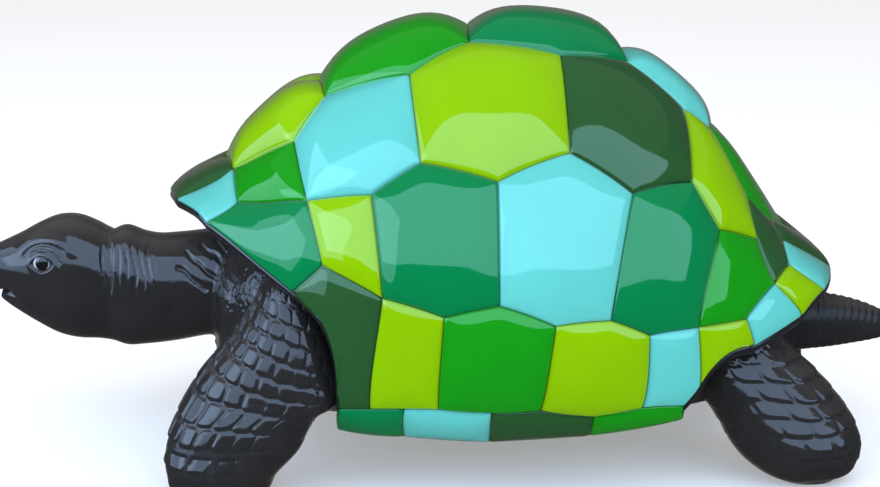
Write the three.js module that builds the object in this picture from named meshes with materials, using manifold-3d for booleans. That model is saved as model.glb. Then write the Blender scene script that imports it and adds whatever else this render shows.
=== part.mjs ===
// Turtle garden sculpture: one hollow glass-fibre casting, painted and lacquered.
// Millimetres, +Z up. The head looks along -X, the feet stand on Z = 0, and X = Y = 0 is the middle
// of the turtle's length and width.
import * as THREE from 'three';
import { mergeVertices } from 'three/addons/utils/BufferGeometryUtils.js';
import Module from 'manifold-3d';

const wasm = await Module();
wasm.setup();

// Driving dimensions
const SHELL_MIDDLE_X = 75;
const PLAN_SQUARENESS = 2.3;
const BELLY_Z = 57;
const SIDE_BULGE = 0.23;
const PLATE_ROUNDNESS = 2.6;
const SEAM_DEPTH = 2.5;
const FACET = 32;
const LIP_DROP = 11;
const LIP_INSET = 5;
const BELLY_EDGE_DROP = 3;
const BELLY_EDGE_INSET = 9;
const RECESS_INSET = 34;
const RECESS_RISE = 2;
const CORE_SHARE = 0.55;
const CORE_Z = 66;
const BAND_STARTS = 1;
const BAND_FULL = 1.05;
const TORSO_SQUARENESS = 3.2;
const LIMB_SQUARENESS = 2.25;
const SLIVER = 0.3;

// Heights and reaches of the smooth dome under the plates, from crown to belly edge: t is the place
// on the way down, front, rear and side are reaches from the middle, and z* are heights there
const DOME_RINGS = [
  { t: 0.0, front: 0, rear: 0, side: 0, zFront: 517, zSide: 517, zRear: 517 },
  { t: 0.22, front: 110, rear: 110, side: 112, zFront: 507, zSide: 495, zRear: 502 },
  { t: 0.5, front: 238, rear: 232, side: 226, zFront: 443, zSide: 386, zRear: 421 },
  { t: 0.8, front: 344, rear: 338, side: 290, zFront: 354, zSide: 231, zRear: 280 },
  { t: 1.0, front: 414, rear: 410, side: 274, zFront: 312, zSide: 116, zRear: 214 },
  { t: 1.14, front: 400, rear: 396, side: 224, zFront: 296, zSide: 61, zRear: 198 },
];

// Corners of the plates on the dome's map: first number toward the tail, second toward one side,
// both as a share of the way from the crown to the rim
const CORNER_LINES = {
  // Between the ridge plates and the upper flank plates, front to back
  a: [[-0.74, 0.205], [-0.52, 0.29], [-0.435, 0.18], [-0.22, 0.24], [-0.085, 0.15], [0.12, 0.2],
    [0.29, 0.12], [0.44, 0.17], [0.525, 0.14], [0.64, 0.255], [0.75, 0.19]],
  // Between the upper and lower flank plates
  b: [[-0.705, 0.39], [-0.49, 0.475], [-0.325, 0.515], [-0.205, 0.47], [-0.03, 0.53], [0.14, 0.455],
    [0.29, 0.505], [0.445, 0.4], [0.53, 0.46], [0.66, 0.38]],
  // Between the lower flank plates and the edge plates
  c: [[-0.465, 0.63], [-0.32, 0.73], [-0.17, 0.79], [-0.03, 0.775], [0.115, 0.81], [0.255, 0.775],
    [0.355, 0.775], [0.48, 0.71], [0.61, 0.645], [0.7, 0.51], [0.765, 0.385], [0.775, 0.25]],
  // The rim, and between the leg openings the top of the belly band
  d: [[-0.908, 0.284], [-0.784, 0.502], [-0.546, 0.661], [-0.458, 0.9], [-0.37, 0.93], [-0.28, 0.955],
    [-0.19, 0.975], [-0.05, 1.0], [0.083, 0.99], [0.23, 0.99], [0.354, 0.93], [0.465, 0.885],
    [0.494, 0.819], [0.638, 0.7], [0.805, 0.6], [0.887, 0.43], [0.985, 0.09]],
  // The lower edge of the belly band
  e: [[-0.515, 0.97], [-0.325, 1.065], [-0.06, 1.13], [0.253, 1.075], [0.494, 0.925]],
  // On the ridge: the rim over the neck and over the tail, and where seams cross between them
  m: [[-1, 0], [1, 0], [-0.8, 0], [-0.475, 0], [0.565, 0], [0.84, 0]],
};

// Plates across the ridge, front to back: their corners on one side, the same on the other, and how
// high they swell as a share of their reach
const RIDGE_PLATES = [
  { corners: 'm0 d0 a0 m2', bulge: 0.24 },
  { corners: 'm2 a0 a1 a2 m3', bulge: 0.34 },
  { corners: 'm3 a2 a3 a4', bulge: 0.29 },
  { corners: 'a4 a5 a6', bulge: 0.28 },
  { corners: 'a6 a7 a8 m4', bulge: 0.26 },
  { corners: 'm4 a8 a9 a10 m5', bulge: 0.12 },
  { corners: 'm5 a10 c11 d16 m1', bulge: 0.12 },
];
// Plates of one side, mirrored on the other: upper flank, lower flank, edge, belly band
const SIDE_PLATES = [
  'a0 a1 b1 b0', 'a1 a2 a3 b3 b2 b1', 'a3 a4 a5 b5 b4 b3', 'a5 a6 a7 b7 b6 b5', 'a7 a8 a9 b9 b8 b7',
  'a9 a10 c11 c10 c9 b9',
  'b0 b1 c0 d2 d1', 'b1 b2 c1 c0', 'b2 b3 b4 c3 c2 c1', 'b4 b5 b6 c5 c4 c3', 'b6 b7 b8 c7 c6 c5',
  'b8 b9 c9 c8 c7',
  'a0 b0 d1 d0', 'c0 c1 d4 d3 d2', 'c1 c2 d6 d5 d4', 'c2 c3 c4 d8 d7 d6', 'c4 c5 c6 d10 d9 d8',
  'c6 c7 d12 d11 d10', 'c7 c8 d13 d12', 'c8 c9 d14 d13', 'c9 c10 d15 d14', 'c10 c11 d16 d15',
  'd3 d4 d5 e1 e0', 'd5 d6 d7 e2 e1', 'd7 d8 d9 e3 e2', 'd9 d10 d11 e4 e3',
];
// The shell's outline on one side, from the front round to the back
const OUTLINE = 'm0 d0 d1 d2 d3 e0 e1 e2 e3 e4 d11 d12 d13 d14 d15 d16 m1';

// Sections of the body inside the shell, across X
const TORSO_SECTIONS = [
  { x: -284, half: 34, low: 128, high: 178 },
  { x: -274, half: 92, low: 95, high: 222 },
  { x: -245, half: 140, low: 74, high: 254 },
  { x: -190, half: 180, low: 62, high: 276 },
  { x: -90, half: 204, low: BELLY_Z, high: 270 },
  { x: 75, half: 212, low: BELLY_Z - 1, high: 270 },
  { x: 220, half: 204, low: BELLY_Z + 2, high: 250 },
  { x: 310, half: 184, low: 72, high: 214 },
  { x: 375, half: 148, low: 84, high: 196 },
  { x: 420, half: 100, low: 92, high: 184 },
  { x: 436, half: 40, low: 118, high: 166 },
];

// Sections of the neck and head, across X, from inside the shell to the nose; wide is the height of
// the widest place
const HEAD_SECTIONS = [
  { x: -220, half: 74, low: 126, high: 268, wide: 200 },
  { x: -290, half: 70, low: 124, high: 263, wide: 196 },
  { x: -335, half: 64, low: 119, high: 260, wide: 192 },
  { x: -370, half: 60, low: 116, high: 263, wide: 190 },
  { x: -398, half: 59, low: 115, high: 267, wide: 188 },
  { x: -413, half: 57, low: 120, high: 262, wide: 188 },
  { x: -432, half: 60, low: 123, high: 271, wide: 188 },
  { x: -455, half: 63, low: 124, high: 280, wide: 190 },
  { x: -480, half: 61, low: 130, high: 280, wide: 192 },
  { x: -505, half: 55, low: 143, high: 270, wide: 198 },
  { x: -527, half: 47, low: 156, high: 258, wide: 204 },
  { x: -548, half: 36, low: 170, high: 248, wide: 208 },
  { x: -566, half: 24, low: 186, high: 239, wide: 212 },
  { x: -576, half: 13, low: 198, high: 230, wide: 214 },
];
const NOSE = [-580, 0, 214];
const NECK_ROOT = [-215, 0, 196];

// Flat slices of one front leg and one hind leg, from the ground up: front and back along X, inner
// and outer along Y
const FRONT_LEG_SLICES = [
  { z: 0, front: -300, back: -214, inner: 186, outer: 268 },
  { z: 8, front: -312, back: -203, inner: 178, outer: 277 },
  { z: 30, front: -320, back: -190, inner: 172, outer: 282 },
  { z: 58, front: -321, back: -164, inner: 166, outer: 281 },
  { z: 84, front: -313, back: -150, inner: 158, outer: 276 },
  { z: 98, front: -307, back: -138, inner: 152, outer: 272 },
  { z: 108, front: -302, back: -118, inner: 146, outer: 268 },
  { z: 145, front: -278, back: -112, inner: 128, outer: 257 },
  { z: 180, front: -246, back: -120, inner: 110, outer: 246 },
  { z: 215, front: -222, back: -132, inner: 96, outer: 231 },
  { z: 244, front: -207, back: -146, inner: 96, outer: 212 },
  { z: 262, front: -190, back: -160, inner: 110, outer: 186 },
];
const HIND_LEG_SLICES = [
  { z: 0, front: 398, back: 468, inner: 128, outer: 196 },
  { z: 8, front: 382, back: 483, inner: 120, outer: 206 },
  { z: 26, front: 357, back: 492, inner: 112, outer: 214 },
  { z: 50, front: 337, back: 494, inner: 104, outer: 219 },
  { z: 75, front: 322, back: 486, inner: 94, outer: 222 },
  { z: 100, front: 303, back: 468, inner: 84, outer: 222 },
  { z: 130, front: 286, back: 440, inner: 74, outer: 216 },
  { z: 155, front: 280, back: 411, inner: 68, outer: 204 },
  { z: 180, front: 282, back: 388, inner: 70, outer: 182 },
  { z: 200, front: 296, back: 364, inner: 84, outer: 150 },
];

// Sections of the tail, across X, from inside the shell to the tip
const TAIL_SECTIONS = [
  { x: 400, half: 46, low: 100, high: 176, wide: 140 },
  { x: 450, half: 42, low: 107, high: 180, wide: 143 },
  { x: 485, half: 37, low: 110, high: 178, wide: 144 },
  { x: 520, half: 30, low: 115, high: 171, wide: 143 },
  { x: 548, half: 22, low: 120, high: 161, wide: 139 },
  { x: 566, half: 14, low: 125, high: 151, wide: 137 },
  { x: 576, half: 7, low: 130, high: 142, wide: 136 },
];
const TAIL_ROOT = [396, 0, 138];
const TAIL_TIP = [580, 0, 135];

// The eye, a low dome in each side of the head, and the slit of the mouth
const EYE = { x: -491, outerY: 60, z: 226, radius: 17, flatness: 0.8 };
const MOUTH = { frontX: -600, backX: -512, frontLow: 175, frontHigh: 184, backZ: 161, across: 140 };

// Smooth value of one column of the dome's rings at t; reaches start straight and heights start level
function ringValue(key, t, startsLevel) {
  const rows = DOME_RINGS;
  const last = rows.length - 1;
  const slope = (k) => {
    if (k === 0) return startsLevel ? 0 : rows[1][key] / rows[1].t;
    const before = (rows[k][key] - rows[k - 1][key]) / (rows[k].t - rows[k - 1].t);
    if (k === last) return before;
    const after = (rows[k + 1][key] - rows[k][key]) / (rows[k + 1].t - rows[k].t);
    const share = (rows[k + 1].t - rows[k].t) / (rows[k + 1].t - rows[k - 1].t);
    return share * before + (1 - share) * after;
  };
  let i = 0;
  while (i < last - 1 && t >= rows[i + 1].t) i += 1;
  const h = rows[i + 1].t - rows[i].t;
  const s = (t - rows[i].t) / h;
  return (2 * s ** 3 - 3 * s ** 2 + 1) * rows[i][key] + (s ** 3 - 2 * s ** 2 + s) * h * slope(i)
    + (3 * s ** 2 - 2 * s ** 3) * rows[i + 1][key] + (s ** 3 - s ** 2) * h * slope(i + 1);
}

// A point of the smooth dome at place [p, q] of its map
function domePoint([p, q]) {
  const t = Math.hypot(p, q);
  const [c, s] = t > 0 ? [p / t, q / t] : [1, 0];
  const reach = ringValue(c < 0 ? 'front' : 'rear', t, false);
  const side = ringValue('side', t, false);
  const n = PLAN_SQUARENESS;
  const round = (Math.abs(c) ** n + Math.abs(s) ** n) ** (-1 / n);
  // Near the rim the height changes quickly where the leg openings begin
  const soft = c * c;
  const sharp = THREE.MathUtils.smoothstep(Math.abs(c), 0.5, 0.9);
  const end = THREE.MathUtils.lerp(soft, sharp, THREE.MathUtils.smoothstep(t, 0.72, 1));
  const zEnd = ringValue(c < 0 ? 'zFront' : 'zRear', t, true);
  const z = THREE.MathUtils.lerp(ringValue('zSide', t, true), zEnd, end);
  return new THREE.Vector3(SHELL_MIDDLE_X + reach * c * round, side * s * round, z);
}

// The dome's outward direction at a place of its map
function domeNormal([p, q]) {
  const step = 0.02;
  const alongP = domePoint([p + step, q]).sub(domePoint([p - step, q]));
  const alongQ = domePoint([p, q + step]).sub(domePoint([p, q - step]));
  return alongP.cross(alongQ).normalize();
}

function raisedPoint(place, height) {
  return domePoint(place).addScaledVector(domeNormal(place), height);
}

// Corner names such as b3 on the first side, and b3* on the mirrored one
function cornerPlace(name) {
  const [p, q] = CORNER_LINES[name[0]][parseInt(name.slice(1), 10)];
  return [p, name.endsWith('*') ? -q : q];
}

// Places along the straight map line between two corners, the same for both plates that share it
const seams = new Map();
function seamPlaces(from, to) {
  const [first, second] = [from, to].sort();
  const key = `${first} ${second}`;
  if (!seams.has(key)) {
    const a = cornerPlace(first);
    const b = cornerPlace(second);
    const pieces = Math.max(2, Math.round(domePoint(a).distanceTo(domePoint(b)) / FACET));
    const places = [];
    for (let i = 0; i <= pieces; i += 1) {
      places.push([0, 1].map((k) => THREE.MathUtils.lerp(a[k], b[k], i / pieces)));
    }
    seams.set(key, places);
  }
  const places = seams.get(key);
  return first === from ? places.slice(0, -1) : places.slice(1).reverse();
}

function loopPlaces(names) {
  return names.flatMap((name, i) => seamPlaces(name, names[(i + 1) % names.length]));
}

// The same loop of map places, turned anticlockwise where it isn't, so that its faces point out
function anticlockwise(places) {
  const area = places.reduce((sum, [p, q], i) => {
    const [nextP, nextQ] = places[(i + 1) % places.length];
    return sum + p * nextQ - q * nextP;
  }, 0);
  return area > 0 ? places : places.slice().reverse();
}

// The corner names of one side and then, backwards, those of the other, without the middle ones twice
function bothSides(names) {
  const mirrored = names.filter((name) => name[0] !== 'm').map((name) => `${name}*`);
  return [...names, ...mirrored.reverse()];
}

// Adds one plate to the triangle list: rings of its own outline shrink to its middle and rise
function addPlate(triangles, names, bulge) {
  const places = anticlockwise(loopPlaces(names));
  const middle = [0, 1].map((k) => places.reduce((sum, place) => sum + place[k], 0) / places.length);
  const top = domePoint(middle);
  const reach = Math.min(...places.map((place) => domePoint(place).distanceTo(top)));
  const shrinks = reach > 50 ? [1, 0.88, 0.68, 0.38] : [1, 0.84, 0.46];
  const rings = shrinks.map((share) => places.map(([p, q]) => {
    const place = [middle[0] + share * (p - middle[0]), middle[1] + share * (q - middle[1])];
    const rise = bulge * reach * (1 - share ** PLATE_ROUNDNESS);
    return raisedPoint(place, share === 1 ? -SEAM_DEPTH : rise);
  }));
  const peak = raisedPoint(middle, bulge * reach);
  const count = places.length;
  rings.forEach((ring, r) => {
    for (let i = 0; i < count; i += 1) {
      const j = (i + 1) % count;
      if (r + 1 < rings.length) {
        triangles.push(ring[i], ring[j], rings[r + 1][j]);
        triangles.push(ring[i], rings[r + 1][j], rings[r + 1][i]);
      } else {
        triangles.push(ring[i], ring[j], peak);
      }
    }
  });
}

// The underside of the shell: a rolled lip, a narrow recess behind it, and a core inside the body
function addUnderside(triangles) {
  const places = loopPlaces(bothSides(OUTLINE.split(' ')));
  const rim = places.map((place) => raisedPoint(place, -SEAM_DEPTH));
  // 1 over the leg, neck and tail openings, 0 along the belly band, which lies further down the map
  const open = places.map(([p, q]) => (
    1 - THREE.MathUtils.smoothstep(Math.hypot(p, q), BAND_STARTS, BAND_FULL)));
  const inward = (v, inset) => {
    const away = new THREE.Vector2(v.x - SHELL_MIDDLE_X, v.y);
    const length = away.length();
    away.multiplyScalar((length - inset) / length);
    return away;
  };
  const ringAt = (inset, height) => rim.map((v, i) => {
    const plan = inward(v, inset(v, i));
    return new THREE.Vector3(SHELL_MIDDLE_X + plan.x, plan.y, height(v, i));
  });
  const lip = ringAt((v, i) => THREE.MathUtils.lerp(BELLY_EDGE_INSET, LIP_INSET, open[i]),
    (v, i) => v.z - THREE.MathUtils.lerp(BELLY_EDGE_DROP, LIP_DROP, open[i]));
  const recess = ringAt(() => RECESS_INSET,
    (v, i) => v.z - THREE.MathUtils.lerp(2 * BELLY_EDGE_DROP, LIP_DROP - RECESS_RISE, open[i]));
  const core = ringAt((v) => CORE_SHARE * Math.hypot(v.x - SHELL_MIDDLE_X, v.y), () => CORE_Z);
  const rings = [rim, lip, recess, core];
  const middle = new THREE.Vector3(SHELL_MIDDLE_X, 0, CORE_Z);
  const count = rim.length;
  for (let i = 0; i < count; i += 1) {
    const j = (i + 1) % count;
    for (let r = 0; r + 1 < rings.length; r += 1) {
      triangles.push(rings[r][i], rings[r][j], rings[r + 1][j]);
      triangles.push(rings[r][i], rings[r + 1][j], rings[r + 1][i]);
    }
    triangles.push(core[i], core[j], middle);
  }
}

function geometryOf(points) {
  const geometry = new THREE.BufferGeometry();
  const numbers = points.flatMap((v) => v.toArray());
  geometry.setAttribute('position', new THREE.Float32BufferAttribute(numbers, 3));
  return geometry;
}

function solidOf(geometry) {
  const bare = geometry.clone();
  bare.deleteAttribute('normal');
  bare.deleteAttribute('uv');
  const merged = mergeVertices(bare);
  return new wasm.Manifold(new wasm.Mesh({
    numProp: 3,
    vertProperties: new Float32Array(merged.attributes.position.array),
    triVerts: new Uint32Array(merged.index.array),
  }));
}

// A closed tube through rings of equally many points, with a point at each end; it is turned
// inside out if its faces come out pointing in
function loft(start, rings, end) {
  const triangles = [];
  const count = rings[0].length;
  for (let i = 0; i < count; i += 1) {
    const j = (i + 1) % count;
    triangles.push([start, rings[0][j], rings[0][i]]);
    for (let r = 0; r + 1 < rings.length; r += 1) {
      triangles.push([rings[r][i], rings[r][j], rings[r + 1][j]]);
      triangles.push([rings[r][i], rings[r + 1][j], rings[r + 1][i]]);
    }
    triangles.push([rings[rings.length - 1][i], rings[rings.length - 1][j], end]);
  }
  const volume = triangles.reduce((sum, [a, b, c]) => sum + a.dot(b.clone().cross(c)), 0);
  return solidOf(geometryOf(triangles.flatMap(([a, b, c]) => (volume > 0 ? [a, b, c] : [a, c, b]))));
}

// Rounded-square waves that go once round a section
function waves(i, count, squareness) {
  const angle = (2 * Math.PI * i) / count;
  const flatten = (v) => Math.sign(v) * Math.abs(v) ** (2 / squareness);
  return [flatten(Math.cos(angle)), flatten(Math.sin(angle))];
}

// A section across X, widest at its own height
function crossSection({ x, half, low, high, wide = (low + high) / 2 }, count, squareness) {
  return Array.from({ length: count }, (_, i) => {
    const [c, s] = waves(i, count, squareness);
    return new THREE.Vector3(x, half * c, wide + s * (s > 0 ? high - wide : wide - low));
  });
}

// A level slice of a leg on one side
function legSlice({ z, front, back, inner, outer }, side, count) {
  return Array.from({ length: count }, (_, i) => {
    const [c, s] = waves(i, count, LIMB_SQUARENESS);
    const x = (front + back) / 2 + (c * (back - front)) / 2;
    const y = (inner + outer) / 2 + (s * (outer - inner)) / 2;
    return new THREE.Vector3(x, side * y, z);
  });
}

function makeShell() {
  const triangles = [];
  for (const plate of RIDGE_PLATES) {
    addPlate(triangles, bothSides(plate.corners.split(' ')), plate.bulge);
  }
  for (const plate of SIDE_PLATES) {
    const names = plate.split(' ');
    addPlate(triangles, names, SIDE_BULGE);
    addPlate(triangles, names.map((name) => `${name}*`), SIDE_BULGE);
  }
  addUnderside(triangles);
  return solidOf(geometryOf(triangles));
}

function makeTorso() {
  const rings = TORSO_SECTIONS.map((section) => crossSection(section, 24, TORSO_SQUARENESS));
  const middles = TORSO_SECTIONS.map(({ x, low, high }) => new THREE.Vector3(x, 0, (low + high) / 2));
  return loft(middles[0], rings, middles[middles.length - 1]);
}

function makeHead() {
  const rings = HEAD_SECTIONS.map((section) => crossSection(section, 20, LIMB_SQUARENESS));
  let head = loft(new THREE.Vector3(...NECK_ROOT), rings, new THREE.Vector3(...NOSE));
  for (const side of [-1, 1]) {
    const eye = new THREE.SphereGeometry(EYE.radius, 12, 8);
    eye.scale(1, EYE.flatness, EYE.flatness);
    eye.translate(EYE.x, side * (EYE.outerY - EYE.flatness * EYE.radius), EYE.z);
    head = head.add(solidOf(eye));
  }
  const slit = new THREE.Shape();
  slit.moveTo(MOUTH.frontX, MOUTH.frontLow);
  slit.lineTo(MOUTH.backX, MOUTH.backZ);
  slit.lineTo(MOUTH.frontX, MOUTH.frontHigh);
  const wedge = new THREE.ExtrudeGeometry(slit, { depth: MOUTH.across, bevelEnabled: false });
  wedge.rotateX(Math.PI / 2);
  wedge.translate(0, MOUTH.across / 2, 0);
  return head.subtract(solidOf(wedge));
}

function makeLeg(slices, side) {
  const rings = slices.map((slice) => legSlice(slice, side, 18));
  const centre = ({ z, front, back, inner, outer }) => (
    new THREE.Vector3((front + back) / 2, (side * (inner + outer)) / 2, z));
  return loft(centre(slices[0]), rings, centre(slices[slices.length - 1]));
}

function makeTail() {
  const rings = TAIL_SECTIONS.map((section) => crossSection(section, 14, LIMB_SQUARENESS));
  return loft(new THREE.Vector3(...TAIL_ROOT), rings, new THREE.Vector3(...TAIL_TIP));
}

function makeTurtle() {
  let turtle = makeShell().add(makeTorso()).add(makeHead()).add(makeTail());
  for (const side of [-1, 1]) {
    turtle = turtle.add(makeLeg(FRONT_LEG_SLICES, side)).add(makeLeg(HIND_LEG_SLICES, side));
  }
  // Crossing surfaces leave slivers along their seams, and this much smoothing takes them out
  const cast = turtle.simplify(SLIVER).getMesh();
  const geometry = new THREE.BufferGeometry();
  geometry.setAttribute('position', new THREE.BufferAttribute(cast.vertProperties, cast.numProp));
  geometry.setIndex(new THREE.BufferAttribute(cast.triVerts, 1));
  geometry.computeVertexNormals();
  const lacquer = new THREE.MeshStandardMaterial({ color: 0x0e8f4c, roughness: 0.12, metalness: 0 });
  const mesh = new THREE.Mesh(geometry, lacquer);
  mesh.name = 'turtle';
  return mesh;
}

const sculpture = new THREE.Group();
sculpture.add(makeTurtle());
export default sculpture;
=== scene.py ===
import math

import bmesh
import bpy
import numpy as np
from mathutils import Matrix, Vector, noise


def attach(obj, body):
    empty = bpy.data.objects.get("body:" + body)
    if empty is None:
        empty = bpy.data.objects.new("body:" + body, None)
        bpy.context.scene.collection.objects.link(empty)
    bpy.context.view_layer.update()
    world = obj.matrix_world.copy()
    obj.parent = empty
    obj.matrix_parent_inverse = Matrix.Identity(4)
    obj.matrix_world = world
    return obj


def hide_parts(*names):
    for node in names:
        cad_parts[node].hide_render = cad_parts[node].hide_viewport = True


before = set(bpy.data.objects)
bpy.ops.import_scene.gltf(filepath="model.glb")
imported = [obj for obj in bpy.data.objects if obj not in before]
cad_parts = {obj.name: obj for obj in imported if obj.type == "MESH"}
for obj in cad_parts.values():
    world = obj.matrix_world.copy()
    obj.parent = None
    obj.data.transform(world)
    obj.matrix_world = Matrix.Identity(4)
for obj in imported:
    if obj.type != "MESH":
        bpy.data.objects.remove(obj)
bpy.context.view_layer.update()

# Turtle garden sculpture: one glass-fibre casting with painted shell plates under clear lacquer.
# Lengths below are in millimetres in the CAD's own frame: the head looks along -X, the photograph's
# side is -Y and the feet stand on Z = 0. MM turns them into Blender's metres.
MM = 0.001

# Camera
CAMERA_TARGET = (-3, 0, 243)
CAMERA_DISTANCE = 2100
CAMERA_RISE = math.radians(14)
FOCAL_PIXELS = 1674
PICTURE_WIDTH = 880
SENSOR_WIDTH = 36

# Studio light: colour of the sky panels, of the room all round, of the room as the lacquer reflects
# it, and of the backdrop
SKY = (0.48, 0.68, 1.0)
AMBIENT = (0.42, 0.42, 0.43, 1)
REFLECTED_ROOM = (0.05, 0.047, 0.044, 1)
BACKDROP = (0.98, 0.98, 0.98, 1)
# The room is paler in the distance, which the lacquer reflects along its far outline: its colour, its
# direction, and between which shares of closeness to that direction it sets in
REFLECTED_DISTANCE = (0.17, 0.16, 0.15, 1)
DISTANCE_DIRECTION = (0, 0.97, -0.24)
DISTANCE_SETS_IN = (0.75, 0.98)
# Floor: half its length in metres, its colour, roughness and glow
FLOOR_HALF = 12
FLOOR_COLOUR = (0.7, 0.7, 0.7, 1)
FLOOR_ROUGHNESS = 0.8
FLOOR_GLOW = 0.32
# Soft light panels, in metres: name, place, what it faces, width, height, watts, colour, and whether
# the lacquer shows it
PANELS = (
    ("sky panel", (-0.6, -1.93, 2.08), (-0.6, 0, 0.25), 13, 2.6, 235, SKY, True),
    ("head side panel", (-3, -0.9, 1.4), (-0.3, -0.2, 0.3), 3.4, 2.4, 46, SKY, True),
    ("overhead panel", (0, 0.8, 3.4), (0, 0.8, 0), 9, 4, 11, (1, 0.92, 0.86), True),
    ("overhead fill", (0, 3, 6), (0, 3, 0), 16, 16, 500, (1, 0.98, 0.95), False),
)

# Shell
SHELL_MIDDLE_X = 75
PLAN_SQUARENESS = 2.3
# Near the rim the heights of the ends count only where the way out points this much along X, and this
# sets in between two places on the way from crown to rim
END_EDGE = (0.5, 0.9)
END_SHARPENS = (0.72, 1)
# Swell of a side plate as a share of its reach, how broad every plate's top is, how round its corners
# are, and the least distance that is told apart from its seam
SIDE_BULGE = 0.15
SWELL = 2.1
CORNER_SOFTNESS = 4
LEAST_DISTANCE = 0.001
SEAM_DEPTH = 1.9
SEAM_WIDTH = 1.2
# The slow unevenness of laid-up glass fibre, which dies away toward the seams
HAND_LAID_WAVE = 0.22
HAND_LAID_SPACING = 30
HAND_LAID_EDGE = 8
# How far from a seam its distance is noted for the paint, how finely a seam is divided, and how
# finely it is followed where distances to it are measured
SEAM_REACH = 20
SEAM_STEP = 5.5
SEAM_SAMPLES = 25
# Rings of a plate: the first lie at these distances from its seam, on a plate of at least this reach,
# and the others in even steps to the innermost, a share of the outline
NEAR_SEAM = (0.8, 1.8, 3.2, 5.2, 8.0, 12.0)
NEAR_SEAM_REACH = 22
INNER_RINGS = 7
INNERMOST = 0.1
# The belly band's own lip takes over past the rim, between these places on the way down
BAND_LIP_STARTS = 1.0
BAND_LIP_FULL = 1.05
# The hidden core that closes the shell inside: its share of the rim's reach, and its height
CORE_SHARE = 0.55
CORE_Z = 66
# How far each ring of the rolled lip lies inward from the rim, and below it
OPEN_LIP = ((-0.7, 1.0), (-1.2, 3.0), (-0.9, 5.5), (0.6, 8.2), (3.4, 10.2), (8, 11), (34, 9))
BAND_LIP = ((0.5, 0.7), (1.8, 1.6), (3.6, 2.3), (6, 2.8), (9, 3), (14, 3.6), (34, 6))

# Smooth dome under the plates from crown to belly edge: t is the place on the way down, front, rear
# and side are reaches from the middle, and the z rows are heights there
DOME = {
    "t": (0, 0.22, 0.5, 0.8, 1.0, 1.14),
    "front": (0, 110, 238, 344, 414, 400),
    "rear": (0, 110, 232, 338, 410, 396),
    "side": (0, 112, 226, 290, 274, 224),
    "z_front": (517, 507, 443, 354, 312, 296),
    "z_side": (517, 495, 386, 231, 116, 61),
    "z_rear": (517, 502, 421, 280, 214, 198),
}

# Corners of the plates on the dome's map: first number toward the tail, second toward the far side,
# both as a share of the way from the crown to the rim. A star after a name means the near side.
CORNER_LINES = {
    # Between the ridge plates and the upper flank plates, front to back
    "a": ((-0.74, 0.205), (-0.52, 0.29), (-0.435, 0.18), (-0.22, 0.24), (-0.085, 0.15), (0.12, 0.2),
          (0.29, 0.12), (0.44, 0.17), (0.525, 0.14), (0.64, 0.255), (0.75, 0.19)),
    # Between the upper and lower flank plates
    "b": ((-0.705, 0.39), (-0.49, 0.475), (-0.325, 0.515), (-0.205, 0.47), (-0.03, 0.53),
          (0.14, 0.455), (0.29, 0.505), (0.445, 0.4), (0.53, 0.46), (0.66, 0.38)),
    # Between the lower flank plates and the edge plates
    "c": ((-0.465, 0.63), (-0.32, 0.73), (-0.17, 0.79), (-0.03, 0.775), (0.115, 0.81),
          (0.255, 0.775), (0.355, 0.775), (0.48, 0.71), (0.61, 0.645), (0.7, 0.51), (0.765, 0.385),
          (0.775, 0.25)),
    # The rim, and between the leg openings the top of the belly band
    "d": ((-0.908, 0.284), (-0.784, 0.502), (-0.546, 0.661), (-0.458, 0.9), (-0.37, 0.93),
          (-0.28, 0.955), (-0.19, 0.975), (-0.05, 1.0), (0.083, 0.99), (0.23, 0.99), (0.354, 0.93),
          (0.465, 0.885), (0.494, 0.819), (0.638, 0.7), (0.805, 0.6), (0.887, 0.43), (0.985, 0.09)),
    # The lower edge of the belly band
    "e": ((-0.515, 0.97), (-0.325, 1.065), (-0.06, 1.13), (0.253, 1.075), (0.494, 0.925)),
    # On the ridge: the rim over the neck and over the tail, and where seams cross between them
    "m": ((-1, 0), (1, 0), (-0.8, 0), (-0.475, 0), (0.565, 0), (0.84, 0)),
}

# How far a stretch of seam or rim is arched at its middle, on the map
ARCHES = {
    ("d2", "d3"): (0.05, -0.015),
    ("d12", "d13"): (-0.012, -0.02),
    ("d6", "d7"): (0, 0.004),
    ("d7", "d8"): (0, 0.005),
    ("d8", "d9"): (0, 0.005),
    ("d9", "d10"): (0, 0.004),
    ("e0", "e1"): (-0.008, 0.012),
    ("e1", "e2"): (0, 0.012),
    ("e2", "e3"): (0, 0.012),
    ("e3", "e4"): (0.006, 0.012),
}

# Plates across the ridge, front to back: corners on one side, swell as a share of reach, paint
RIDGE_PLATES = (
    ("m0 d0 a0 m2", 0.24, "forest"),
    ("m2 a0 a1 a2 m3", 0.34, "lime"),
    ("m3 a2 a3 a4", 0.24, "leaf"),
    ("a4 a5 a6", 0.252, "emerald"),
    ("a6 a7 a8 m4", 0.24, "turquoise"),
    ("m4 a8 a9 a10 m5", 0.135, "leaf"),
    ("m5 a10 c11 d16 m1", 0.9, "forest"),
)
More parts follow.
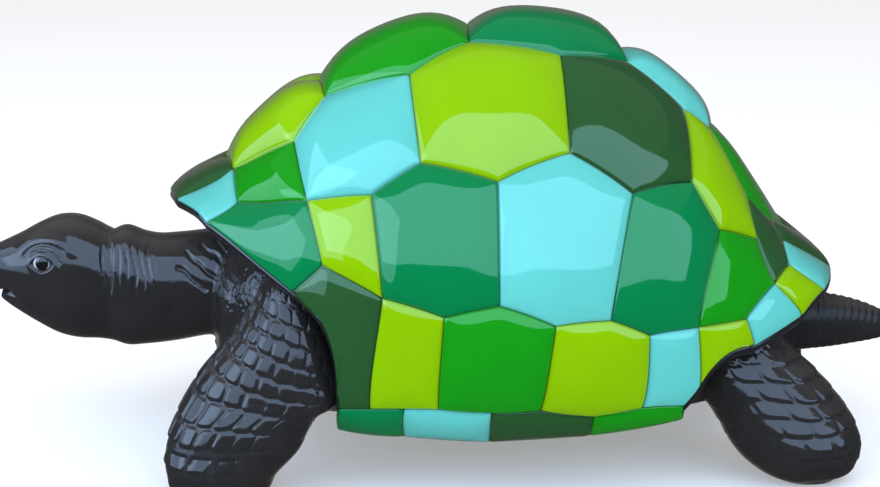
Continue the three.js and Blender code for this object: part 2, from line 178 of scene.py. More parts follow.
# Plates of one side: corners, paint on the near side, paint on the far side
SIDE_PLATES = (
    ("a0 a1 b1 b0", "leaf", "turquoise"),
    ("a1 a2 a3 b3 b2 b1", "turquoise", "emerald"),
    ("a3 a4 a5 b5 b4 b3", "lime", "turquoise"),
    ("a5 a6 a7 b7 b6 b5", "forest", "lime"),
    ("a7 a8 a9 b9 b8 b7", "lime", "emerald"),
    ("a9 a10 c11 c10 c9 b9", "forest", "lime"),
    ("b0 b1 c0 d2 d1", "emerald", "lime"),
    ("b1 b2 c1 c0", "lime", "forest"),
    ("b2 b3 b4 c3 c2 c1", "emerald", "leaf"),
    ("b4 b5 b6 c5 c4 c3", "turquoise", "forest"),
    ("b6 b7 b8 c7 c6 c5", "emerald", "leaf"),
    ("b8 b9 c9 c8 c7", "leaf", "turquoise"),
    ("a0 b0 d1 d0", "turquoise", "emerald"),
    ("c0 c1 d4 d3 d2", "forest", "turquoise"),
    ("c1 c2 d6 d5 d4", "lime", "emerald"),
    ("c2 c3 c4 d8 d7 d6", "leaf", "turquoise"),
    ("c4 c5 c6 d10 d9 d8", "lime", "emerald"),
    ("c6 c7 d12 d11 d10", "turquoise", "lime"),
    ("c7 c8 d13 d12", "lime", "forest"),
    ("c8 c9 d14 d13", "turquoise", "leaf"),
    ("c9 c10 d15 d14", "lime", "turquoise"),
    ("c10 c11 d16 d15", "turquoise", "emerald"),
    ("d3 d4 d5 e1 e0", "emerald", "lime"),
    ("d5 d6 d7 e2 e1", "turquoise", "forest"),
    ("d7 d8 d9 e3 e2", "forest", "lime"),
    ("d9 d10 d11 e4 e3", "leaf", "turquoise"),
)
PAINT_COLOURS = {
    "lime": (0.25, 0.47, 0.0),
    "leaf": (0.006, 0.265, 0.006),
    "emerald": (0.0, 0.19, 0.05),
    "forest": (0.019, 0.08, 0.02),
    "turquoise": (0.12, 0.53, 0.445),
    "black": (0.013, 0.0125, 0.014),
}
PAINTS = tuple(PAINT_COLOURS)

# Body sections across X: x, half width, lowest, highest and widest height
TORSO = ((-284, 34, 128, 178, 153), (-274, 92, 95, 222, 158), (-245, 140, 74, 254, 164),
         (-190, 180, 62, 276, 169), (-90, 204, 57, 270, 163), (75, 212, 56, 270, 163),
         (220, 204, 59, 250, 154), (310, 184, 72, 214, 143), (375, 148, 84, 196, 140),
         (420, 100, 92, 184, 138), (436, 40, 118, 166, 142))
HEAD = ((-215, 76, 132, 268, 190), (-220, 74, 132, 268, 190), (-290, 70, 130, 261, 181),
        (-335, 64, 121, 256.5, 176), (-354, 62, 118, 255.5, 175), (-372, 60, 116, 258.5, 174),
        (-398, 59, 115, 267, 175),
        (-413, 57, 120, 262, 180), (-432, 60, 123, 271, 186), (-455, 63, 124, 280, 190),
        (-480, 61, 130, 280, 192), (-505, 55, 143, 270, 198), (-527, 47, 156, 258, 204),
        (-548, 36, 170, 248, 208), (-566, 24, 186, 239, 212), (-576, 13, 198, 230, 214),
        (-580, 1, 213, 215, 214))
TAIL = ((396, 48, 98, 174, 139), (400, 46, 100, 176, 140), (450, 42, 107, 180, 143),
        (485, 37, 110, 178, 144), (520, 30, 115, 171, 143), (548, 22, 120, 161, 139),
        (566, 14, 125, 151, 137), (576, 7, 130, 142, 136), (580, 1, 134, 136, 135))
# Leg sections from the ground up: z, front and back along X, inner and outer along Y
FRONT_LEG = ((0, -300, -214, 186, 268), (8, -312, -203, 178, 277), (30, -320, -190, 172, 282),
             (58, -321, -164, 166, 281), (84, -313, -150, 158, 276), (98, -307, -138, 152, 272),
             (108, -302, -118, 146, 268), (145, -278, -112, 128, 257), (180, -246, -120, 110, 246),
             (215, -222, -132, 96, 231), (244, -207, -146, 96, 212), (262, -190, -160, 110, 186))
HIND_LEG = ((0, 398, 468, 128, 198), (8, 382, 483, 120, 212), (26, 357, 492, 112, 225),
            (50, 337, 494, 104, 231), (75, 322, 486, 94, 224), (100, 303, 468, 84, 213),
            (130, 286, 440, 74, 200), (155, 280, 411, 68, 186), (180, 282, 388, 70, 168),
            (200, 296, 364, 84, 142))
TORSO_SQUARENESS = 3.2
LIMB_SQUARENESS = 2.25
# How finely lofts are divided along them and round them, and how finely a skin is
BODY_STEP = 4
BODY_SIDES = 96
LEG_STEP = 1.9
LEG_SIDES = 240
SKIN_VOXEL = 2.1
# Where the skins of head and tail end under the shell, and how far past that they are first cut
CHEST_END = -120
RUMP_START = 268
CUT_ALLOWANCE = 60
# Smoothing, as rounds and weight: all over a skin, and in the corner where a limb leaves the body
SKIN_SMOOTHING = (6, 0.5)
JOIN_SMOOTHING = (30, 0.5)
JOIN_WIDTH = 16

# Scales of a leg: how many go round, their height up the leg, how much their rows slant, where they
# start and where they fade into rough skin, how far each leans in toward its top, how uneven the rows
# are, and between which places along X, from the middle of the leg, they are clearest
FRONT_SCALES = {"around": 20, "height": 19.5, "slant": 0.42, "start": 72, "end": 226, "tilt": 0.8,
                "wave": 2, "clear": (-200, 10)}
HIND_SCALES = {"around": 13, "height": 19, "slant": 0.1, "start": 50, "end": 142, "tilt": 3,
               "wave": 4, "clear": (8, 50)}
# Slanting sets in between these heights, rows wave at this spacing, scales are this strong where they
# are faintest, and fade over these lengths beside their clearest part, at their start and their end
SLANT_SETS_IN = (60, 190)
ROW_WAVE_SPACING = 34
FAINTEST = 0.5
CLEAR_FADE = 30
START_FADE = 2
END_FADE = (-10, 25)
# How unevenly scales are placed and lean, as shares of one scale, how square their corners are, and
# between which shares of their half width they rise from the grooves to their flat tops
UNEVEN_PLACES = 0.24
UNEVEN_LEAN = 0.22
SCALE_CORNERS = 5
SCALE_EDGE = (0.02, 0.24)
SCALE_DEPTH = 2.8
# The row of square toe scales under them: how many go round, lowest and highest place
FRONT_TOES = (14, 43, 66)
HIND_TOES = (15, 28, 44)
# Where a toe's edge falls off, as shares of its half width, how far it leans in toward its top, over
# what height the row fades into the scales, and over what height its grooves fade toward the sole
TOE_EDGE = (0.68, 0.88)
TOE_TILT = 6
TOE_FADE = 12
SOLE_FADE = 8
# Rough skin: between which heights from the scales' end it sets in, how much of it is left between
# them, its depth, the size of its pebbles, and how wide their creases are as a share
ROUGH_SETS_IN = (-25, 5)
ROUGH_BETWEEN_SCALES = 0.3
GRAIN_DEPTH = 0.75
GRAIN_SIZE = 10
GRAIN_CREASE = 0.3

# Neck: vertical ridges over its side, between two places along X, fading over a length, and between
# the heights where they set in and where they end
RIDGE_SPACING = 10
RIDGE_WIDTH = 1.9
RIDGE_DEPTH = 2.7
RIDGES_ALONG = (-420, -358, 7)
RIDGES_START_UP = (180, 218)
RIDGES_END_UP = (240, 256)
# Slanting folds in front of the shoulder: a line of points along X and up Z, its depth and half width
NECK_FOLDS = (
    (((-326, 226), (-306, 215), (-289, 203)), 3.0, 2.1),
    (((-314, 241), (-296, 231), (-276, 213)), 2.8, 2.0),
    (((-298, 252), (-278, 240), (-256, 218)), 2.4, 1.9),
    (((-281, 254), (-264, 243), (-246, 228)), 2.2, 1.8),
)
# How far off the neck's own surface its ridges fade
NECK_REACH = (8, 20)
# Rough skin behind the folds: where it sets in along X at a height, how much further forward it does
# higher up, and how far out from the middle it starts
ROUGH_NECK_ALONG = (-286, -252)
ROUGH_NECK_HEIGHT = 200
ROUGH_NECK_LEAN = 0.25
ROUGH_NECK_OUT = (30, 42)

# Eye: the middle of its opening, half its width and height, and how round its lids meet
EYE = (-491, 54.9, 229.5)
EYE_HALF_WIDTH = 13
EYE_HALF_HEIGHT = 8.5
LID_ROUNDNESS = 1.5
# The rim of the lids, as its place and width in shares of the opening and its height, and the hollow
# that the eye lies in, as the shares where its wall ends and starts and its depth
LID_RIM = (1.3, 0.22, 0.9)
EYE_HOLLOW = (0.8, 1.08, 4.6)
# Arched lines over the eye: their ovals' middle from the eye's, half width and height, the line's
# place and width as shares of the oval, its rise, and above which heights it shows, leaning by a share
EYE_ARCHES = (
    ((0, 0), (21, 17), 1, 0.07, -1.7, (2, 9), 0.25),
    ((4, -2), (31, 25), 1, 0.06, -1.4, (6, 14), -0.2),
    ((4, -2), (31, 25), 1.25, 0.2, 1.5, (6, 16), 0),
)
# Eyeball: its size, how finely it is divided round and up, how far it stands out of the lids, half the
# width and height of its pupil, and how high that sits
EYE_RADIUS = 15
EYE_DIVISIONS = (64, 32)
EYE_STANDS_OUT = 0.2
PUPIL = (7.8, 10)
PUPIL_UP = 1.6
# Soft dents behind the eye and low on the neck: middle, half width and height, depth
DENTS = (
    ((-450, 206), (12, 12), 1.2),
    ((-333, 172), (8, 4.5), 1.8),
)
# The line of the mouth, along X and up Z
MOUTH_LINE = ((-590, 186), (-560, 187), (-541, 191), (-528, 186), (-516, 178.5), (-505, 170),
              (-496, 163))
# How much lower the mouth lies at the front of the beak than at its sides, and over what width
MOUTH_DIP = 9
MOUTH_DIP_REACH = 38
# The mouth's half width and depth along its side and at the front, where the front begins, and its end
MOUTH_WIDTHS = (2.0, 3.2)
MOUTH_DEPTHS = (2.8, 9)
MOUTH_FRONT = (-548, -528)
MOUTH_END = (-486, -478)
# Nostril: its place along X and up Z, its size, and how far out from the middle it lies
NOSTRIL = (-567, 226)
NOSTRIL_RADIUS = 2.6
NOSTRIL_DEPTH = 2.2
NOSTRIL_OUT = (3, 6)
# The crease across the nape: its place, the heights between which it sets in, its depth and width
NAPE_X = -411
NAPE_UP = (150, 240)
NAPE_DEPTH = 1.3
NAPE_WIDTH = 2.6
# How far out from the middle the features of the head's side set in, and where all of them end
SIDE_OUT = (4, 26)
HEAD_END = (-310, -300)

# Tail: its rings' spacing, width and depth, where they lie, what share of them is left low on its side,
# and where the rough skin of the rump ends
TAIL_RING_SPACING = 9.5
TAIL_RING_WIDTH = 2.2
TAIL_RING_DEPTH = 1.5
TAIL_RINGS_ALONG = (470, 545, 16)
TAIL_RINGS_UP = (136, 146)
TAIL_RINGS_BELOW = 0.35
ROUGH_RUMP_END = (420, 450)

# Belly plate: its middle and half lengths, how much they draw in at the corners, its lowest height, its
# thickness, its seams along X, and how finely it is divided
BELLY_MIDDLE = (85, 0)
BELLY_HALF = (262, 188)
BELLY_ROUNDING = 0.22
BELLY_PLATE_Z = 52.5
BELLY_THICKNESS = 9
BELLY_SEAMS = (-130, -30, 80, 190, 290)
BELLY_DIVISIONS = (150, 100)
# It lies a little under the body, levels out between two places along X, fading over a length, has
# bent seams, swells between them within a reach, and turns up from a share of the way to its edge
BELLY_OFF_BODY = 3
BELLY_LEVEL = (-70, 260, 70)
BELLY_SEAM_BEND = 14
BELLY_SEAM_DEPTH = 1.6
BELLY_SEAM_WIDTH = 1.8
BELLY_SWELL = 1.8
BELLY_SWELL_REACH = 30
BELLY_EDGE_UP = 14
BELLY_EDGE_START = 0.8
# How far out across its half width the body's underside is followed, as a share
BODY_SIDE_END = 0.985

# Shell paint: scale and detail of its clouds, how dark and light they are, how dull the paint is under
# its lacquer, and how grey reflections in it stay
PAINT_CLOUDS = (9, 4)
PAINT_SHADES = (0.86, 1.1)
PAINT_DULLNESS = (0.05, 0.11)
REFLECTION_GREY = 0.3
# Painted shade and dirt in the seams: how dark they are, and between which distances from a seam they end
SEAM_SHADE_AND_DIRT_SHARE = 0.3
SEAM_SHADE_AND_DIRT_END = (0.15, 1.1)
# Skin paint: scale and detail of its clouds and of its pores, the pores' strength and depth in metres,
# its two blacks, and the painted reflection of the room above where it faces up by more than a share
SKIN_CLOUDS = (26, 5)
SKIN_PORES = (260, 3)
PORE_STRENGTH = 0.12
PORE_DEPTH = 0.0008
SKIN_BLACK = (0.015, 0.0137, 0.0132, 1)
SKIN_WORN = (0.025, 0.0225, 0.0215, 1)
SKIN_PAINTED_TOP_REFLECTION = (0.05, 0.041, 0.036, 1)
TOP_REFLECTION_SETS_IN = (0.55, 0.95)
# Eye paint: its two colours, and between which shares of the pupil's size one gives way to the other
PUPIL_BLACK = (0.006, 0.006, 0.007, 1)
EYE_WHITE = (0.5, 0.5, 0.48, 1)
PUPIL_EDGE = (0.96, 1.06)


def smooth_value(xs, ys, x, first_slope=None):
    """Value at x of the smooth curve through the points (xs, ys)."""
    xs, ys = np.asarray(xs, float), np.asarray(ys, float)
    steps = np.diff(xs)
    rates = np.diff(ys) / steps
    slopes = np.append(rates[0], rates)
    slopes[1:-1] = (steps[1:] * rates[:-1] + steps[:-1] * rates[1:]) / (steps[1:] + steps[:-1])
    if first_slope is not None:
        slopes[0] = first_slope
    i = np.clip(np.searchsorted(xs, x, side="right") - 1, 0, len(xs) - 2)
    h = steps[i]
    s = (x - xs[i]) / h
    return ((2 * s**3 - 3 * s**2 + 1) * ys[i] + (s**3 - 2 * s**2 + s) * h * slopes[i]
            + (3 * s**2 - 2 * s**3) * ys[i + 1] + (s**3 - s**2) * h * slopes[i + 1])


def smoothstep(low, high, x):
    """0 below low, 1 above high, and a smooth rise between."""
    s = np.clip((np.asarray(x, float) - low) / (high - low), 0, 1)
    return s * s * (3 - 2 * s)


def lerp(a, b, share):
    """The value a share of the way from a to b."""
    return a + (b - a) * share


def groove(distance, width):
    """1 in the middle of a groove, 0 away from it."""
    return np.exp(-((distance / width) ** 2))


def window(value, low, high, fade):
    """1 between low and high, fading to 0 outside."""
    return smoothstep(low - fade, low, value) * (1 - smoothstep(high, high + fade, value))


def dome_point(places):
    """Points of the smooth dome at places (p, q) of its map."""
    p, q = places[..., 0], places[..., 1]
    t = np.hypot(p, q)
    safe = np.where(t > 0, t, 1)
    c = np.where(t > 0, p / safe, 1)
    s = np.where(t > 0, q / safe, 0)

    def at(key, slope=None):
        """The dome's row of that name at t."""
        return smooth_value(DOME["t"], DOME[key], t, slope)

    reach = np.where(c < 0, at("front"), at("rear"))
    n = PLAN_SQUARENESS
    round_plan = (np.abs(c) ** n + np.abs(s) ** n) ** (-1 / n)
    sharp = smoothstep(*END_EDGE, np.abs(c))
    end = lerp(c * c, sharp, smoothstep(*END_SHARPENS, t))
    z_end = np.where(c < 0, at("z_front", 0), at("z_rear", 0))
    z = lerp(at("z_side", 0), z_end, end)
    return np.stack((SHELL_MIDDLE_X + reach * c * round_plan, at("side") * s * round_plan, z), -1)


def dome_normal(places):
    """Outward directions of the smooth dome at places of its map."""
    step = 0.02
    along_p = dome_point(places + (step, 0)) - dome_point(places - (step, 0))
    along_q = dome_point(places + (0, step)) - dome_point(places - (0, step))
    normal = np.cross(along_p, along_q)
    return normal / np.linalg.norm(normal, axis=-1, keepdims=True)


def corner_place(name):
    """A corner's place on the map, from its name."""
    p, q = CORNER_LINES[name[0]][int(name[1:].rstrip("*"))]
    return (p, -q if name.endswith("*") else q)


def seam_line(first, second, shares):
    """Places on the map along the seam between two corners, arched where the seam is not straight."""
    shares = np.asarray(shares)[:, None]
    line = lerp(np.array(corner_place(first)), np.array(corner_place(second)), shares)
    names = (first.rstrip("*"), second.rstrip("*"))
    pull = ARCHES.get(names, ARCHES.get(names[::-1]))
    if pull:
        side = -1 if first.endswith("*") else 1
        line = line + 4 * shares * (1 - shares) * np.array((pull[0], side * pull[1]))
    return line


def all_plates():
    """Every plate as its corner names, its swell and its paint."""
    plates = []
    for corners, bulge, paint in RIDGE_PLATES:
        names = corners.split()
        mirrored = [name + "*" for name in names if name[0] != "m"]
        plates.append((names + mirrored[::-1], bulge, paint))
    for corners, near_paint, far_paint in SIDE_PLATES:
        names = corners.split()
        plates.append((names, SIDE_BULGE, far_paint))
        plates.append(([name + "*" for name in names], SIDE_BULGE, near_paint))
    return plates


def line_distance(points, line):
    """Distance of each point from a chain of straight pieces."""
    start, along = line[:-1], np.diff(line, axis=0)
    away = points[:, None] - start[None]
    share = np.clip((away * along).sum(-1) / (along * along).sum(-1), 0, 1)
    return np.linalg.norm(away - share[..., None] * along, axis=-1).min(1)


def plate_rise(places, names, bulge, reach):
    """Height of one plate over the dome at places of the map, and the distance to its seam."""
    points = dome_point(places)
    distances = []
    for name, after in zip(names, names[1:] + names[:1]):
        line = dome_point(seam_line(name, after, np.linspace(0, 1, SEAM_SAMPLES)))
        distances.append(line_distance(points, line))
    distances = np.maximum(np.array(distances), LEAST_DISTANCE)
    blunt = (distances**-CORNER_SOFTNESS).sum(0) ** (-1 / CORNER_SOFTNESS)
    seam = distances.min(0)
    share = blunt / blunt.max()
    swell = bulge * reach * (1 - (1 - share) ** SWELL)
    wave = HAND_LAID_WAVE * waviness(points, HAND_LAID_SPACING)
    swell += wave * smoothstep(0, HAND_LAID_EDGE, seam)
    return swell - SEAM_DEPTH * groove(seam, SEAM_WIDTH), seam


def plate_rings(bm, plate_of):
    """Rings from each plate's outline to its middle, close together near the seam."""
    faces = list(bm.faces)
    middles, reaches = [], []
    for face in faces:
        places = np.array([vert.co.xy for vert in face.verts])
        middle = places.mean(0)
        points = dome_point(places)
        middles.append(middle)
        reaches.append(np.linalg.norm(points - dome_point(middle), axis=1).min())
    rings = len(NEAR_SEAM) + INNER_RINGS
    for ring in range(rings):
        faces = bmesh.ops.extrude_discrete_faces(bm, faces=faces)["faces"]
        for face in faces:
            plate = face[plate_of]
            room = max(reaches[plate], NEAR_SEAM_REACH)
            shares = [1] + [1 - gap / room for gap in NEAR_SEAM]
            shares += list(np.linspace(shares[-1], INNERMOST, INNER_RINGS + 1)[1:])
            ratio = shares[ring + 1] / shares[ring]
            p, q = middles[plate]
            for vert in face.verts:
                vert.co.x = p + (vert.co.x - p) * ratio
                vert.co.y = q + (vert.co.y - q) * ratio
    for vert in bmesh.ops.poke(bm, faces=faces)["verts"]:
        vert.co.xy = middles[vert.link_faces[0][plate_of]]
    return reaches


def lip_rings(bm, level):
    """Extrudes the sheet's edge ring by ring and closes it; each vertex keeps its rim place."""
    edges = [edge for edge in bm.edges if edge.is_boundary]
    for ring in range(len(OPEN_LIP) + 1):
        made = bmesh.ops.extrude_edge_only(bm, edges=edges)["geom"]
        edges = [item for item in made if isinstance(item, bmesh.types.BMEdge) and item.is_boundary]
        for edge in edges:
            for vert in edge.verts:
                vert[level] = ring + 1
    bmesh.ops.edgeloop_fill(bm, edges=edges)


def lip_points(places, levels):
    """Points of the lip, the recess behind it and the core, from rim places and ring numbers."""
    rim = dome_point(places) - SEAM_DEPTH * dome_normal(places)
    is_open = 1 - smoothstep(BAND_LIP_STARTS, BAND_LIP_FULL, np.hypot(*places.T))
    away = rim[:, :2] - (SHELL_MIDDLE_X, 0)
    length = np.linalg.norm(away, axis=1)
    profile = np.minimum(levels, len(OPEN_LIP)) - 1
    inset = lerp(np.array(BAND_LIP)[profile, 0], np.array(OPEN_LIP)[profile, 0], is_open)
    drop = lerp(np.array(BAND_LIP)[profile, 1], np.array(OPEN_LIP)[profile, 1], is_open)
    core = levels > len(OPEN_LIP)
    kept = np.where(core, CORE_SHARE * length, length - inset)
    z = np.where(core, CORE_Z, rim[:, 2] - drop)
    plan = away * (kept / length)[:, None]
    return np.column_stack((SHELL_MIDDLE_X + plan[:, 0], plan[:, 1], z))


def finish_mesh(bm, name, materials):
    """Turns a bmesh in millimetres into a finished piece in metres."""
    bmesh.ops.scale(bm, vec=(MM, MM, MM), verts=bm.verts)
    mesh = bpy.data.meshes.new(name)
    bm.to_mesh(mesh)
    bm.free()
    return finish_piece(mesh, name, materials)


def finish_piece(mesh, name, materials):
    """Puts a finished mesh into the scene as a piece that stands for the casting."""
    mesh.shade_smooth()
    for material in materials:
        mesh.materials.append(material)
    piece = bpy.data.objects.new(name, mesh)
    bpy.context.scene.collection.objects.link(piece)
    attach(piece, "root")
    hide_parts("turtle")
    return piece


def plate_sheet(bm, plates, plate_of):
    """The flat map of all plates, one face each, with the seams between them divided and arched."""
    corners = {}
    for number, (names, _, paint) in enumerate(plates):
        for name in names:
            if name not in corners:
                corners[name] = bm.verts.new((*corner_place(name), 0))
        face = bm.faces.new([corners[name] for name in names])
        face.normal_update()
        if face.normal.z < 0:
            face.normal_flip()
        face[plate_of] = number
        face.material_index = PAINTS.index(paint)
    named = {vert: name for name, vert in corners.items()}
    seams = [(edge, *[named[vert] for vert in edge.verts]) for edge in bm.edges]
    for edge, first, second in seams:
        ends = dome_point(np.array([corner_place(first), corner_place(second)]))
        pieces = max(2, round(np.linalg.norm(ends[1] - ends[0]) / SEAM_STEP))
        start, run = edge.verts[0].co.copy(), edge.verts[1].co - edge.verts[0].co
        made = bmesh.ops.bisect_edges(bm, edges=[edge], cuts=pieces - 1)["geom_split"]
        for vert in made:
            if isinstance(vert, bmesh.types.BMVert):
                share = (vert.co - start).dot(run) / run.length_squared
                vert.co.xy = seam_line(first, second, [share])[0]


def make_shell(paints):
    """The painted dome with its plates, seams and rolled lip, closed inside by a hidden core."""
    bm = bmesh.new()
    plate_of = bm.faces.layers.int.new("plate")
    level = bm.verts.layers.int.new("level")
    plates = all_plates()
    plate_sheet(bm, plates, plate_of)
    reaches = plate_rings(bm, plate_of)
    lip_rings(bm, level)
    bm.verts.index_update()
    bm.verts.ensure_lookup_table()
    places = np.array([vert.co.xy for vert in bm.verts])
    levels = np.array([vert[level] for vert in bm.verts])
    rise = np.full(len(places), -SEAM_DEPTH)
    seam = np.zeros(len(places))
    members = [set() for _ in plates]
    for face in bm.faces:
        if any(vert[level] for vert in face.verts):
            face.material_index = PAINTS.index("black")
        else:
            members[face[plate_of]].update(vert.index for vert in face.verts)
    for number, (names, bulge, _) in enumerate(plates):
        inside = np.array(sorted(members[number]))
        rise[inside], seam[inside] = plate_rise(places[inside], names, bulge, reaches[number])
    points = dome_point(places) + rise[:, None] * dome_normal(places)
    below = levels > 0
    points[below] = lip_points(places[below], levels[below])
    seam[below] = SEAM_REACH
    seam_layer = bm.verts.layers.float.new("seam")
    for vert, point, distance in zip(bm.verts, points, seam):
        vert.co = point
        vert[seam_layer] = min(distance / SEAM_REACH, 1)
    bmesh.ops.recalc_face_normals(bm, faces=bm.faces)
    return finish_mesh(bm, "shell", paints)


def loft_rings(rows, squareness, step, sides, legwise=0):
    """Points of a loft, ring by ring. Rows run along X, or for a leg (legwise is its side) up Z."""
    table = np.array(rows, float)
    if table[0, 0] > table[-1, 0]:
        table = table[::-1]
    count = round((table[-1, 0] - table[0, 0]) / step) + 1
    along = np.linspace(table[0, 0], table[-1, 0], count)[:, None]
    columns = [smooth_value(table[:, 0], table[:, k], along) for k in range(1, table.shape[1])]
    turn = np.linspace(0, 2 * math.pi, sides, endpoint=False)[None]
    power = 2 / squareness
    c = np.sign(np.cos(turn)) * np.abs(np.cos(turn)) ** power
    s = np.sign(np.sin(turn)) * np.abs(np.sin(turn)) ** power
    level = along + 0 * turn
    if legwise:
        front, back, inner, outer = columns
        across = legwise * lerp(inner, outer, (1 + s) / 2)
        return np.stack((lerp(front, back, (1 + c) / 2), across, level), -1)
    half, low, high, wide = columns
    tall = np.where(s > 0, high - wide, wide - low)
    return np.stack((level, half * c, wide + tall * s), -1)


def add_rings(bm, rings, values=None):
    """Adds one closed tube over rings of points, with a value kept at each of them."""
    count, sides = rings.shape[:2]
    ring_of = bm.verts.layers.int.get("ring") or bm.verts.layers.int.new("ring")
    turn_of = bm.verts.layers.int.get("turn") or bm.verts.layers.int.new("turn")
    groove_of = bm.verts.layers.float.get("groove") or bm.verts.layers.float.new("groove")
    start = bmesh.ops.create_circle(bm, segments=sides, radius=1)["verts"]
    for turn, vert in enumerate(start):
        vert[ring_of] = 0
        vert[turn_of] = turn
    made = list(start)
    edges = list({edge for vert in start for edge in vert.link_edges})
    bmesh.ops.edgeloop_fill(bm, edges=edges)
    for ring in range(1, count):
        new = bmesh.ops.extrude_edge_only(bm, edges=edges)["geom"]
        edges = [item for item in new if isinstance(item, bmesh.types.BMEdge) and item.is_boundary]
        verts = [item for item in new if isinstance(item, bmesh.types.BMVert)]
        for vert in verts:
            vert[ring_of] = ring
        made += verts
    bmesh.ops.edgeloop_fill(bm, edges=edges)
    for vert in made:
        place = vert[ring_of], vert[turn_of]
        vert.co = rings[place]
        if values is not None:
            vert[groove_of] = values[place]


def ring_normals(rings):
    """Outward directions at the points of a loft's rings."""
    around = np.roll(rings, -1, 1) - np.roll(rings, 1, 1)
    normal = np.cross(around, np.gradient(rings, axis=0))
    normal /= np.linalg.norm(normal, axis=-1, keepdims=True)
    outward = (normal * (rings - rings.mean(1, keepdims=True))).sum()
    return normal * np.sign(outward)


def remeshed(bm, name, voxel):
    """One even skin over everything in the bmesh, as a mesh in millimetres."""
    bmesh.ops.recalc_face_normals(bm, faces=bm.faces)
    mesh = bpy.data.meshes.new(name)
    bm.to_mesh(mesh)
    bm.free()
    rough = bpy.data.objects.new(name, mesh)
    bpy.context.scene.collection.objects.link(rough)
    remesh = rough.modifiers.new("one skin", "REMESH")
    remesh.mode = "VOXEL"
    remesh.voxel_size = voxel
    depsgraph = bpy.context.evaluated_depsgraph_get()
    skin = bpy.data.meshes.new_from_object(rough.evaluated_get(depsgraph))
    bpy.data.objects.remove(rough)
    bpy.data.meshes.remove(mesh)
    return skin


def vertex_values(mesh, key):
    """The places ("co") or the outward directions ("normal") of a mesh's vertices."""
    flat = np.empty(len(mesh.vertices) * 3)
    mesh.vertices.foreach_get(key, flat)
    return flat.reshape(-1, 3)


def put_positions(mesh, points):
    """Moves a mesh's vertices to the given points."""
    mesh.vertices.foreach_set("co", points.ravel())
    mesh.update()


def smoothed(mesh, points, rounds, weight):
    """Moves each point toward the middle of its neighbours, round after round."""
    pairs = np.empty(len(mesh.edges) * 2, int)
    mesh.edges.foreach_get("vertices", pairs)
    first, second = pairs.reshape(-1, 2).T
    count = np.bincount(pairs, minlength=len(points))[:, None]
    for _ in range(rounds):
        total = np.stack([np.bincount(first, points[second, k], len(points))
                          + np.bincount(second, points[first, k], len(points)) for k in range(3)], 1)
        points = points + weight * (total / count - points)
    return points


def outside_of(points, rows, squareness):
    """How far points lie outside a loft along X, and below 0 inside it."""
    table = np.array(rows, float)
    if table[0, 0] > table[-1, 0]:
        table = table[::-1]
    along = points[:, 0]
    inside = np.clip(along, table[0, 0], table[-1, 0])
    half, low, high, wide = (smooth_value(table[:, 0], table[:, k], inside) for k in range(1, 5))
    tall = np.where(points[:, 2] > wide, high - wide, wide - low)
    u = points[:, 1] / half
    v = (points[:, 2] - wide) / tall
    ratio = (np.abs(u) ** squareness + np.abs(v) ** squareness) ** (1 / squareness)
    outside = (ratio - 1) * (half + tall) / 2
    return np.hypot(np.maximum(outside, 0), along - inside) + np.minimum(outside, 0)


def chance(i, j, salt):
    """A steady number from 0 to 1 for a cell (i, j)."""
    value = np.sin(i * 12.9898 + j * 78.233 + salt * 37.719) * 43758.5453
    return value - np.floor(value)


def scale_tops(share, along, around, height, salt):
    """Staggered scales with round corners: 0 in the grooves to 1 on the tops, and the place up each."""
    row = np.floor(along / height)
    place = share * around + 0.5 * (row % 2) + UNEVEN_PLACES * (chance(row, 0, salt) - 0.5)
    column = np.floor(place)
    u = 2 * (place - column) - 1
    v = 2 * (along / height - row) - 1
    lean = UNEVEN_LEAN * (chance(column % around, row, salt) - 0.5)
    u, v = u + lean * v, v + lean * u
    inside = 1 - (np.abs(u) ** SCALE_CORNERS + np.abs(v) ** SCALE_CORNERS) ** (1 / SCALE_CORNERS)
    return smoothstep(*SCALE_EDGE, inside), v


def toe_tops(share, z, toe_row):
    """A row of square toe scales: 0 in the grooves to 1 on the tops, and the place up each."""
    toes, low, high = toe_row
    up = (z - low) / (high - low)
    place = share * toes
    across = 2 * np.abs(place - np.floor(place) - 0.5)
    edge = np.maximum(across, np.abs(2 * up - 1))
    return 1 - smoothstep(*TOE_EDGE, edge), up


def grain(points):
    """Leathery skin: 0 on its small flat pebbles to 1 in the creases between them."""
    creases = np.empty(len(points))
    for k, point in enumerate(points / GRAIN_SIZE):
        near, next_near = noise.voronoi(Vector(point))[0][:2]
        creases[k] = next_near - near
    return 1 - smoothstep(0, GRAIN_CREASE, creases)


def rough_skin(points, strength):
    """Depth of the creases of leathery skin, where it has any strength."""
    depth = np.zeros(strength.shape)
    creased = strength > 0
    depth[creased] = GRAIN_DEPTH * strength[creased] * grain(points[creased])
    return depth


def waviness(points, size, salt=0.0):
    """A slow steady unevenness from about -1 to 1."""
    x, y, z = (points / size).T
    return (np.sin(x * 1.9 + salt) * np.cos(y * 2.3 + 1.3 * salt)
            + np.sin(y * 1.7 + z * 2.1 + salt) + np.cos(z * 1.3 - x * 1.1 + 2 * salt)) / 3


